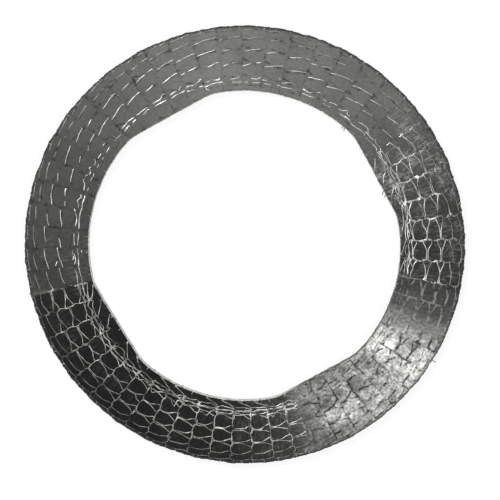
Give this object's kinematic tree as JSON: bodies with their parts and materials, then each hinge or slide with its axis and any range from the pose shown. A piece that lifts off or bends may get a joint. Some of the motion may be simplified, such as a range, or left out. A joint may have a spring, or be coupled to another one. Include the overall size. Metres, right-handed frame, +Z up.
{
  "type": "flat exhaust gasket of graphite and knitted wire mesh",
  "caption": "Flat ring gasket of pressed flexible graphite with a knitted steel wire sleeve in its faces and flats in its bore, clamped between two pipe flanges to seal them.",
  "frame": {"origin": "middle of the lower face, on the axis of the outer edge", "axes": "+Z up through the bore, square to both faces; +X from the centre towards the face, 29.5 degrees clockwise of a flat's normal"},
  "size_m": [0.108, 0.108, 0.002],
  "materials": {
    "graphite_foil": "pressed flexible graphite, burnished in places",
    "stainless_wire": "drawn wire, coined flat by the die"
  },
  "bodies": {
    "root": {"graphite_ring": "graphite_foil", "wire_mesh": "stainless_wire"}
  },
  "joints": []
}
